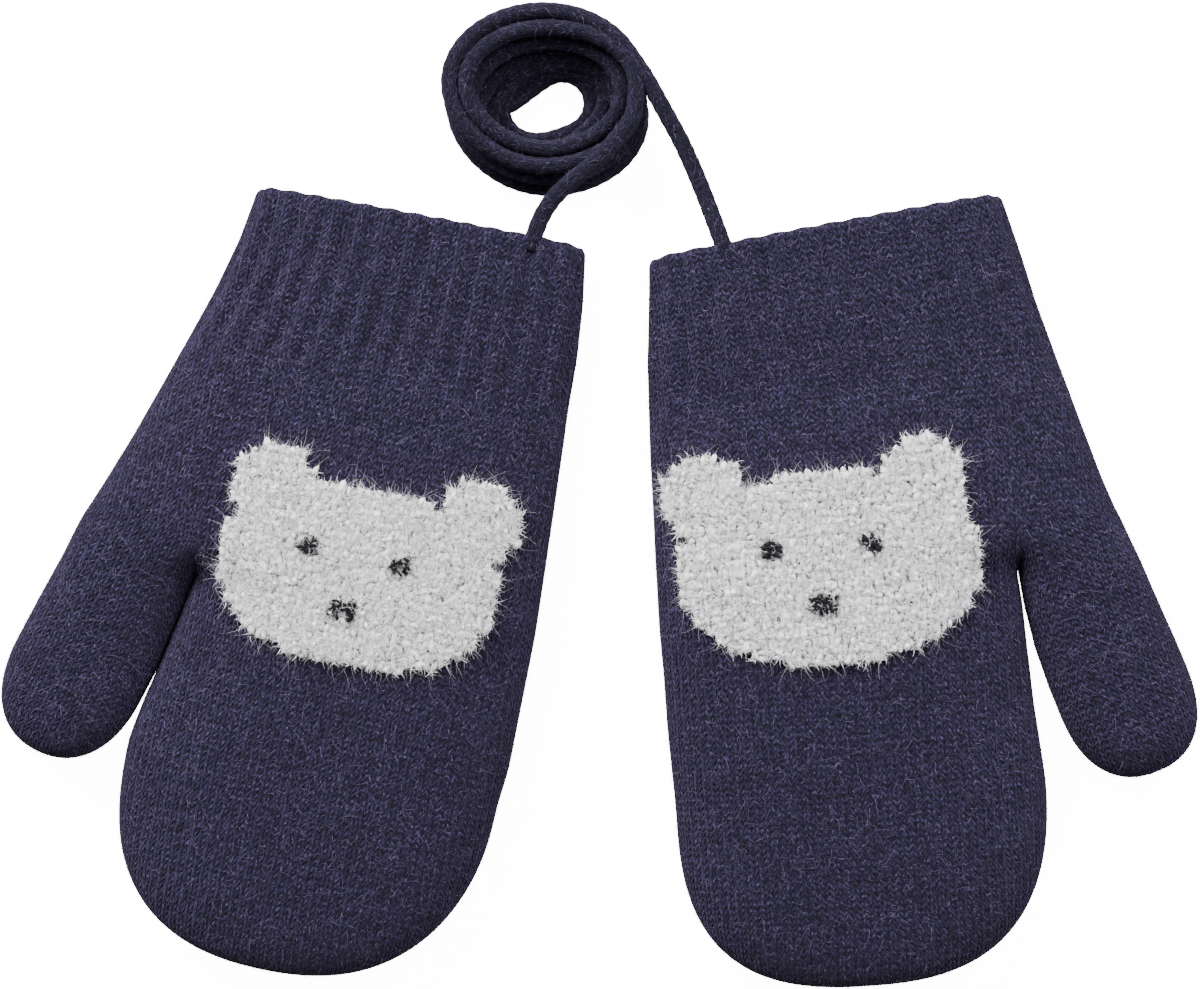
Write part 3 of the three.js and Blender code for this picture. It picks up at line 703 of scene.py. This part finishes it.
def thumb_grid(spec, thumb, along, inset):
    """Rings of the thumb in the part's frame. Near the root each point's height goes over from
    the hand's own form to the thumb's, sooner on the side towards the hand."""
    rings, perimeters = ring_grid(thumb_section(thumb, along), THUMB_AROUND, inset)
    turn = np.radians(thumb["turn"])
    way_down = np.array([spec["side"] * np.sin(turn), -np.cos(turn)])
    way_out = np.array([spec["side"] * np.cos(turn), np.sin(turn)])
    across = rings[..., 0]
    flat = np.array(thumb["root"]) + along[:, None, None] * way_down + across[..., None] * way_out
    hand_along, hand_across = from_sheet(spec, flat)
    section = [np.asarray(v) for v in hand_section(spec, hand_along, wide=True)]
    top, under = heights(section, hand_across, inset)
    upper = np.arange(THUMB_AROUND)[None, :] <= np.argmin(across, axis=1)[:, None]
    hand_z = np.where(upper, top, under)
    sunk = SUNK * (1 - ease((along[:, None] + 7) / 6))
    half = thumb_section(thumb, along)[1][:, None]
    early = np.clip(-across / np.maximum(half, 1), 0, 1) * 6
    share = ease((along[:, None] + early) / JOIN)
    z = (hand_z - np.where(upper, sunk, -sunk)) * (1 - share) + rings[..., 1] * share
    grid = np.concatenate([flat, z[..., None]], axis=-1)
    return turned_out(spec, grid), turned_out(spec, stitch_uv(rings, perimeters, along))


thumb_grids = {}
for number, (name, spec) in enumerate(MITTENS.items()):
    thumb = THUMBS[name]
    tip = thumb["tip_end"] - thumb["tip_start"]
    closing = thumb["tip_start"] + tip * LAST_RING * np.sin(np.linspace(0, np.pi / 2, 26))
    along = np.concatenate([np.arange(-9, thumb["tip_start"], 0.7), closing])
    outside, outside_uv = thumb_grid(spec, thumb, along, 0.0)
    lifted = ease((outside[..., 2] - LIFTED) / LIFTED)
    outside[..., 2] += lifted * 0.22 * soft_waves(outside[..., :2], 40 + number, 14)
    outside[..., 2] = np.maximum(outside[..., 2], 0)
    shorter = dict(thumb, tip_end=thumb["tip_end"] - WALL)
    inside_along = np.linspace(-8.5, thumb["tip_end"] - WALL - 0.02, 12)[::-1]
    inside, inside_uv = thumb_grid(spec, shorter, inside_along, WALL)
    thumb_grids[name] = outside
    tube = closed_shell(f"{name}_thumb_tube", np.concatenate([inside, outside]),
                        np.concatenate([inside_uv, outside_uv]))
    tube.data.materials.append(navy_wool)
    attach(tube, "root")
    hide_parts(f"{name}_thumb")


# Brushed hairs: the nap raised from the navy wool, fine curled hairs 1 to 4 mm long that lie over
# the stitches in all directions, a little lighter than the cloth, and stand out at its edges.
COATS = {  # hairs on a hand and on a thumb, and their form
    "nap": (8000, 1400, dict(length=(0.7, 1.8), lift=(0.1, 0.35), width=0.09, steps=3)),
    "long_hairs": (2600, 450, dict(length=(2, 4.5), lift=(0.2, 0.7), width=0.07, steps=6)),
}
LOWEST_HAIR = 1.5
THUMB_BARE = 14  # first rings of a thumb, which lie in the hand and have no hairs
CORD_HAIRS = 9000
CORD_HAIR = dict(length=(0.8, 2.2), lift=(0.05, 0.3), width=0.08, steps=4, spread=0.9)
ROOT_DEPTH = 0.12  # how far under the cloth a hair starts
HAIR_FLOOR = 0.02  # lowest height of a hair, just over the surface below


def hair_mesh(name, roots, normals, rng, length, lift, width, steps, heading=None, spread=np.pi):
    """Hairs as flat tapering ribbons. A hair starts a little under the cloth, runs along it in its
    own direction, bows sideways with the square of the way along, and arches over the cloth as a
    sine, but never goes below the surface that the part lies on. heading is a preferred direction,
    and spread how far hairs turn from it, in radians."""
    count = len(roots)
    helper = np.where(np.abs(normals[:, 2:]) > 0.9, [[1.0, 0, 0]], [[0, 0, 1.0]])
    if heading is not None:
        helper = np.broadcast_to(heading, (count, 3))
    first = helper - normals * (helper * normals).sum(axis=1, keepdims=True)
    first /= np.linalg.norm(first, axis=1, keepdims=True)
    second = np.cross(normals, first)
    turn = rng.uniform(-spread, spread, count)[:, None]
    way = first * np.cos(turn) + second * np.sin(turn)
    aside = np.cross(normals, way)
    size = rng.uniform(*length, count)[:, None, None]
    rise = rng.uniform(*lift, count)[:, None, None]
    bow = rng.normal(0, 0.55, count)[:, None, None]
    end_rise = rng.uniform(-0.4, 0.9, count)[:, None, None]
    share = np.linspace(0, 1, steps)[None, :, None]
    line = roots[:, None] + size * (way[:, None] * share + aside[:, None] * bow * share ** 2)
    arch = rise * (np.sin(np.pi * share) + end_rise * share) - ROOT_DEPTH * (1 - share)
    line = line + normals[:, None] * arch
    across = aside[:, None] * (1 - 0.75 * share) * width / 2
    points = np.stack([line - across, line + across], axis=2).reshape(-1, 3)
    points[:, 2] = np.maximum(points[:, 2], HAIR_FLOOR)
    base = (np.arange(count) * steps * 2)[:, None, None]
    strip = (np.arange(steps - 1) * 2)[None, :, None]
    faces = (base + strip + np.array([0, 1, 3, 2])[None, None, :]).reshape(-1, 4)
    tint = np.repeat(rng.uniform(0, 1, count), steps * 2)
    uv = np.column_stack([tint, np.zeros_like(tint)])
    return make_piece(name, points, faces.tolist(), uv)


def scatter(grid, count, rng, lowest):
    """Random points of a grid of rings and the outward directions there, none lower than lowest:
    a random ring and share of the way to the next, weighted by the ring's size."""
    normals = grid_normals(grid)
    closed = np.concatenate([grid, grid[:, :1]], axis=1)
    girth = np.linalg.norm(np.diff(closed, axis=1), axis=2).sum(axis=1)
    step = np.linalg.norm(np.diff(grid, axis=0), axis=2).mean(axis=1)
    weight = girth[:-1] * step
    rows = rng.choice(len(weight), size=3 * count, p=weight / weight.sum())
    columns = rng.integers(0, grid.shape[1], 3 * count)
    a, b = rng.uniform(0, 1, (2, 3 * count, 1))
    beside = (columns + 1) % grid.shape[1]

    def between(values):
        this = values[rows, columns] * (1 - b) + values[rows, beside] * b
        following = values[rows + 1, columns] * (1 - b) + values[rows + 1, beside] * b
        return this * (1 - a) + following * a

    places, directions = between(grid), between(normals)
    keep = np.flatnonzero(places[:, 2] > lowest)[:count]
    directions = directions / np.linalg.norm(directions, axis=1, keepdims=True)
    return places[keep], directions[keep]


def hair_material(name, dark, light):
    """Single wool hairs: matt, each of its own shade between two, from the piece's UV map."""
    material, tree, shader = start_material(name)
    uv = add(tree, "ShaderNodeUVMap", uv_map="stitches")
    shade = add(tree, "ShaderNodeSeparateXYZ", [uv])
    patch = soft_step(tree, speckle(tree, 0.8), 0.3, 0.6)
    share = add(tree, "ShaderNodeMath", [shade, patch], operation="MULTIPLY")
    colour = add(tree, "ShaderNodeMix", {0: share, 6: linear(dark), 7: linear(light)},
                 data_type="RGBA")
    connect(tree, shader, {
        "Base Color": colour.outputs[2], "Roughness": 0.8, "Specular IOR Level": 0.2,
    })
    return material


navy_hair = hair_material("brushed navy wool hair", "#1c172c", "#5d5473")
for number, name in enumerate(MITTENS):
    rng = np.random.default_rng(100 + number)
    for coat, (hand_hairs, thumb_hairs, form) in COATS.items():
        on_hand = scatter(hand_grids[name], hand_hairs, rng, LOWEST_HAIR)
        on_thumb = scatter(thumb_grids[name][THUMB_BARE:], thumb_hairs, rng, LOWEST_HAIR)
        roots, normals = (np.vstack(pair) for pair in zip(on_hand, on_thumb))
        hairs = hair_mesh(f"{name}_{coat}", roots, normals, rng, **form)
        hairs.data.materials.append(navy_hair)
        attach(hairs, "root")

cord_rng = np.random.default_rng(120)
cord_roots, cord_normals = scatter(cord_grid, CORD_HAIRS, cord_rng, 0.4)
nearest = np.array([np.argmin(((cord_line - root) ** 2).sum(axis=1)) for root in cord_roots])
cord_headings = np.gradient(cord_line, axis=0)[nearest]
cord_nap = hair_mesh(
    "cord_nap", cord_roots, cord_normals, cord_rng, heading=cord_headings, **CORD_HAIR
)
cord_nap.data.materials.append(navy_hair)
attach(cord_nap, "root")


# Bears: a head with two round ears on each hand, in stocking stitch of a thicker, fluffy pale
# yarn. The stitches are fat and uneven, stand about a millimetre above the navy cloth, and end in
# steps at the outline; loose fluff covers them and lies over the navy wool round about.
BEAR = dict(
    half_width=26.2, half_height=16.6, fullness=2.35, ear_radius=7.6, ear_out=19.4, ear_up=14.3,
    eye_out=8.8, eye_up=3.8, nose_down=6.6,
)
PALE_WALE = 2.0
PALE_COURSE = 1.65
LEG_SIDES = 6
LEG_RINGS = 5
# Each leg of a stitch: how far out its foot and its top are, how far down and up, and the mean
# and spread of its height over the cloth, its thickness and its arch. Then the same of the loose
# loops that lie over the stitches in all directions.
LEG = dict(foot=(0.18, 0.95), top=(0.82, 1.05), raised=(0.4, 0.14), fat=(0.5, 0.1),
           arch=(0.5, 0.22))
LOOP = dict(for_each_stitch=1.7, half_length=(0.45, 0.85), raised=(0.75, 0.15), fat=(0.36, 0.09),
            arch=(0.4, 0.15))
SHADE_SHEET_RAISED = 0.45  # height of a grey sheet under the stitches: painted shade that shows dark between them
SHADE_SHEET_OVERLAP = 1.02
FLUFF = 19000  # loose hairs on each bear
FLUFF_FORM = dict(length=(0.5, 1.6), lift=(0.1, 0.5), width=0.12, steps=4)
STRAYS = 1000  # long hairs from its edge
STRAY_FORM = dict(length=(1.5, 4.5), lift=(0, 0.4), width=0.055, steps=7)


def in_bear(x, up, bear):
    """Whether points lie in the head's oval or in an ear's circle. x is towards +X, up is towards
    the cuff, both from the middle of the head."""
    aside = bear["ears"]
    x, up = x / bear["size"], up / bear["size"]
    head = np.abs(x / BEAR["half_width"]) ** BEAR["fullness"]
    head = head + np.abs(up / BEAR["half_height"]) ** BEAR["fullness"] < 1
    ear = np.hypot(np.abs(x - aside) - BEAR["ear_out"], up - BEAR["ear_up"]) < BEAR["ear_radius"]
    return head | ear


def hand_point(spec, x, up, raised):
    """Points above the top of a hand, from a place on the bear and a height above the cloth."""
    along = spec["bear"]["along"] - up
    across = spec["bear"]["across"] + spec["side"] * x
    top, _ = heights(hand_section(spec, along), across)
    return np.concatenate([to_sheet(spec, along, across), (top + raised)[..., None]], axis=-1)


def stitch_legs(spec, start, end, raised, fat, arch):
    """Fat yarn legs between two places on the bear. Each is a closed spindle: its middle line
    arches over the cloth as a sine, and its thickness follows the square root of a sine."""
    share = np.linspace(0, 1, LEG_RINGS + 2)[1:-1]
    middle = start[:, None] * (1 - share[:, None]) + end[:, None] * share[:, None]
    height = raised[:, None] + arch[:, None] * np.sin(np.pi * share)
    way = end - start
    way /= np.linalg.norm(way, axis=1, keepdims=True)
    side = np.stack([-way[:, 1], way[:, 0]], axis=-1)
    angle = np.linspace(0, 2 * np.pi, LEG_SIDES, endpoint=False)
    thick = fat[:, None] * np.sin(np.pi * share) ** 0.5
    offset = thick[:, :, None] * np.cos(angle)
    place = middle[:, :, None] + side[:, None, None] * offset[..., None]
    lift = height[:, :, None] + thick[:, :, None] * np.sin(angle)
    rings = hand_point(spec, place[..., 0], place[..., 1], lift)
    ends = np.stack([
        hand_point(spec, start[:, 0], start[:, 1], raised),
        hand_point(spec, end[:, 0], end[:, 1], raised),
    ], axis=1)
    return rings, ends


def leg_mesh(name, rings, ends, uv_value):
    """One mesh of many closed spindles, from their rings of points and their two end points."""
    count = len(rings)
    ring_points = rings.reshape(count, -1, 3)
    points = np.concatenate([ring_points, ends], axis=1)
    each = points.shape[1]
    base = (np.arange(count) * each)[:, None, None]
    first, last = end_faces(LEG_RINGS, LEG_SIDES, each - 2, each - 1)
    faces = (base + grid_faces(LEG_RINGS, LEG_SIDES)[None]).reshape(-1, 4).tolist()
    faces += (base + first[None]).reshape(-1, 3).tolist()
    faces += (base + last[None]).reshape(-1, 3).tolist()
    return make_piece(name, points.reshape(-1, 3), faces, np.repeat(uv_value, each, axis=0))


def one_shade_each(rng, count):
    """A random shade from 0 to 1 for each stitch, as a pair of pattern coordinates."""
    return np.column_stack([rng.uniform(0, 1, count), np.zeros(count)])


def nearly_upright(rng, count, spread):
    """Directions that are spread at random about straight up."""
    normals = np.tile([0.0, 0.0, 1.0], (count, 1)) + rng.normal(0, spread, (count, 3))
    return normals / np.linalg.norm(normals, axis=1, keepdims=True)


def yarn(name, dark, light, grain, strength, sheen):
    """Loosely spun yarn: matt, each stitch of its own shade from the UV map, with fine fibres as
    grain in the colour and as relief."""
    material, tree, shader = start_material(name)
    uv = add(tree, "ShaderNodeUVMap", uv_map="stitches")
    shade = add(tree, "ShaderNodeSeparateXYZ", [uv])
    fibre = speckle(tree, grain, 4.0, 0.7)
    grainy = add(tree, "ShaderNodeMath", [fibre, 0.8], operation="MULTIPLY")
    share = add(tree, "ShaderNodeMath", [shade, 0.5, grainy], operation="MULTIPLY_ADD")
    share = soft_step(tree, share, 0.2, 0.85)
    colour = add(tree, "ShaderNodeMix", {0: share, 6: linear(dark), 7: linear(light)},
                 data_type="RGBA")
    relief = {"Height": fibre, "Distance": 0.35 * MM, "Strength": strength}
    connect(tree, shader, {
        "Base Color": colour.outputs[2], "Normal": add(tree, "ShaderNodeBump", relief),
        "Roughness": 0.92, "Specular IOR Level": 0.15, "Sheen Weight": sheen,
        "Sheen Roughness": 0.6,
    })
    return material


pale_yarn = yarn("fluffy pale knitting yarn", "#aea8ac", "#fbf8f9", 0.5, 1.0, 0.2)
pale_hair = hair_material("pale yarn fluff", "#b3adb1", "#fcfafb")
stray_hair = hair_material("pale yarn strays", "#77727a", "#cfcacd")
# Painted shade: a grey copy of the pale yarn, for the sheet that shows between the stitches.
pale_painted_shade = yarn("pale yarn painted shade", "#5f5a5f", "#9a9599", 0.5, 0.6, 0.1)
for number, (name, spec) in enumerate(MITTENS.items()):
    rng = np.random.default_rng(200 + number)
    columns = np.arange(-20, 21) * PALE_WALE
    rows = np.arange(-18, 22) * PALE_COURSE
    x, up = (values.ravel() for values in np.meshgrid(columns, rows))
    keep = in_bear(x, up, spec["bear"])
    x, up = x[keep], up[keep]
    legs = []
    for side in (-1, 1):
        low = np.column_stack([rng.normal(x + side * LEG["foot"][0], 0.28),
                               rng.normal(up - LEG["foot"][1], 0.25)])
        high = np.column_stack([rng.normal(x + side * LEG["top"][0], 0.33),
                                rng.normal(up + LEG["top"][1], 0.33)])
        fat = rng.normal(*LEG["fat"], len(x))
        raised = rng.normal(*LEG["raised"], len(x))
        legs.append(stitch_legs(spec, low, high, raised, fat, rng.normal(*LEG["arch"], len(x))))
    loops = int(len(x) * LOOP["for_each_stitch"])
    chosen = rng.integers(0, len(x), loops)
    place = np.column_stack([x[chosen] + rng.uniform(-1, 1, loops),
                             up[chosen] + rng.uniform(-0.9, 0.9, loops)])
    turn = rng.uniform(0, np.pi, loops)
    way = np.column_stack([np.cos(turn), np.sin(turn)])
    way *= rng.uniform(*LOOP["half_length"], loops)[:, None]
    raised = rng.normal(*LOOP["raised"], loops)
    fat = rng.normal(*LOOP["fat"], loops)
    arch = rng.normal(*LOOP["arch"], loops)
    legs.append(stitch_legs(spec, place - way, place + way, raised, fat, arch))
    rings, ends = (np.concatenate(parts) for parts in zip(*legs))
    stitches = leg_mesh(f"{name}_bear_stitches", rings, ends, one_shade_each(rng, len(rings)))
    # A sheet of grey cells under the stitches, one for each stitch: painted shade between them.
    corner = np.array([[-0.5, -0.5], [0.5, -0.5], [0.5, 0.5], [-0.5, 0.5]]) * SHADE_SHEET_OVERLAP
    cell_x = x[:, None] + corner[None, :, 0] * PALE_WALE
    cell_up = up[:, None] + corner[None, :, 1] * PALE_COURSE
    cells = hand_point(spec, cell_x, cell_up, np.full(cell_x.shape, SHADE_SHEET_RAISED)).reshape(-1, 3)
    shade_sheet = make_piece(f"{name}_bear_painted_shade", cells, np.arange(len(cells)).reshape(-1, 4).tolist(),
                        np.zeros((len(cells), 2)))
    near = rng.integers(0, len(x), FLUFF)
    fluff_x = x[near] + rng.uniform(-0.6, 0.6, FLUFF) * PALE_WALE
    fluff_up = up[near] + rng.uniform(-0.6, 0.6, FLUFF) * PALE_COURSE
    roots = hand_point(spec, fluff_x, fluff_up, rng.uniform(1.1, 1.8, FLUFF))
    normals = nearly_upright(rng, FLUFF, 0.35)
    fluff = hair_mesh(f"{name}_bear_fluff", roots, normals, rng, **FLUFF_FORM)
    inner = in_bear(x - PALE_WALE, up, spec["bear"]) & in_bear(x + PALE_WALE, up, spec["bear"])
    inner &= in_bear(x, up - PALE_COURSE, spec["bear"]) & in_bear(x, up + PALE_COURSE, spec["bear"])
    edge = rng.choice(np.flatnonzero(~inner), STRAYS)
    stray_x = x[edge] + rng.uniform(-0.8, 0.8, STRAYS)
    stray_up = up[edge] + rng.uniform(-0.8, 0.8, STRAYS)
    roots = hand_point(spec, stray_x, stray_up, rng.uniform(0.5, 1.2, STRAYS))
    normals = np.tile([0.0, 0.0, 1.0], (STRAYS, 1))
    strays = hair_mesh(f"{name}_bear_strays", roots, normals, rng, **STRAY_FORM)
    stitches.data.materials.append(pale_yarn)
    shade_sheet.data.materials.append(pale_painted_shade)
    fluff.data.materials.append(pale_hair)
    strays.data.materials.append(stray_hair)
    for piece in (stitches, shade_sheet, fluff, strays):
        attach(piece, "root")
    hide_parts(f"{name}_bear")


# Faces: two eyes and a nose on each bear, worked over the pale stitches with a few short
# stitches of near-black yarn.
EYE_REACH = (2.5, 2.2)  # half width and half height of an eye
NOSE_REACH = (3.5, 2.5)
EYE_STITCHES = 18
NOSE_STITCHES = 30
FACE_YARN = 0.34  # half the thickness of a stitch
FACE_ARCH = 0.35
FACE_FUZZ = 900
FUZZ_FORM = dict(length=(0.6, 1.7), lift=(0.1, 0.4), width=0.1, steps=4)
black_yarn = yarn("near-black yarn", "#070709", "#1c1b20", 0.4, 0.8, 0.0)
for number, (name, spec) in enumerate(MITTENS.items()):
    rng = np.random.default_rng(300 + number)
    size = spec["bear"]["size"]
    aside = spec["bear"]["face"]
    knots = [
        (aside - BEAR["eye_out"] * size, BEAR["eye_up"] * size, EYE_REACH, EYE_STITCHES),
        (aside + BEAR["eye_out"] * size, BEAR["eye_up"] * size, EYE_REACH, EYE_STITCHES),
        (aside, -BEAR["nose_down"] * size, NOSE_REACH, NOSE_STITCHES),
    ]
    lines = []
    for knot_x, knot_up, reach, stitches_in in knots:
        middle = rng.uniform(-0.6, 0.6, (stitches_in, 2)) * reach + (knot_x, knot_up)
        turn = rng.uniform(0, np.pi, stitches_in)
        way = np.column_stack([np.cos(turn), np.sin(turn)])
        way *= rng.uniform(0.6, 1.1, (stitches_in, 1))
        lines.append(np.hstack([middle - way, middle + way]))
    lines = np.vstack(lines)
    count = len(lines)
    rings, ends = stitch_legs(spec, lines[:, :2], lines[:, 2:], rng.uniform(1.2, 1.7, count),
                              np.full(count, FACE_YARN), np.full(count, FACE_ARCH))
    face = leg_mesh(f"{name}_face", rings, ends, one_shade_each(rng, count))
    face.data.materials.append(black_yarn)
    near = rng.integers(0, count, FACE_FUZZ)
    share = rng.uniform(0, 1, (FACE_FUZZ, 1))
    place = lines[near, :2] * share + lines[near, 2:] * (1 - share)
    roots = hand_point(spec, place[:, 0], place[:, 1], rng.uniform(1.5, 2.1, FACE_FUZZ))
    normals = nearly_upright(rng, FACE_FUZZ, 0.3)
    fuzz = hair_mesh(f"{name}_face_fuzz", roots, normals, rng, **FUZZ_FORM)
    fuzz.data.materials.append(black_yarn)
    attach(fuzz, "root")
    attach(face, "root")
    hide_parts(f"{name}_eye_1", f"{name}_eye_2", f"{name}_nose")


# Studio: a white light table that glows evenly towards the camera, and broad soft lights from
# above, the strongest beyond the cuffs, so that the pair lies in nearly shadowless light.
TABLE = 3  # half the table's width, in m
floor_mesh = bpy.data.meshes.new("floor")
table_corners = [(-TABLE, -TABLE, 0), (TABLE, -TABLE, 0), (TABLE, TABLE, 0), (-TABLE, TABLE, 0)]
floor_mesh.from_pydata(table_corners, [], [(0, 1, 2, 3)])
floor = bpy.data.objects.new("floor", floor_mesh)
bpy.context.collection.objects.link(floor)
floor_material = bpy.data.materials.new("lit white acrylic")
floor_material.use_nodes = True
floor_shader = floor_material.node_tree.nodes["Principled BSDF"]
floor_shader.inputs["Base Color"].default_value = linear("#f7f7f8")
floor_shader.inputs["Roughness"].default_value = 0.9
floor_shader.inputs["Emission Color"].default_value = linear("#ffffff")
floor_shader.inputs["Emission Strength"].default_value = 14
floor.visible_diffuse = False
floor.visible_glossy = False
floor.data.materials.append(floor_material)

AIM = np.array([0, 0.015, 0])  # where the lights point, in m
LIGHTS = [  # name, place in m, size in m, power in W
    ("key", (-0.6, 0.75, 0.62), 0.6, 45),
    ("fill", (0.7, 0.5, 0.58), 0.7, 20),
]
for name, place, size, power in LIGHTS:
    light_data = bpy.data.lights.new(name, "AREA")
    light_data.size = size
    light_data.energy = power
    light = bpy.data.objects.new(name, light_data)
    light.location = place
    toward = AIM - np.array(place)
    light.rotation_mode = "QUATERNION"
    light.rotation_quaternion = Vector(toward.tolist()).to_track_quat("-Z", "Y")
    bpy.context.collection.objects.link(light)
world = bpy.data.worlds.new("studio")
world.use_nodes = True
world.node_tree.nodes["Background"].inputs["Color"].default_value = linear("#f4f4f7")
world.node_tree.nodes["Background"].inputs["Strength"].default_value = 0.5
bpy.context.scene.world = world
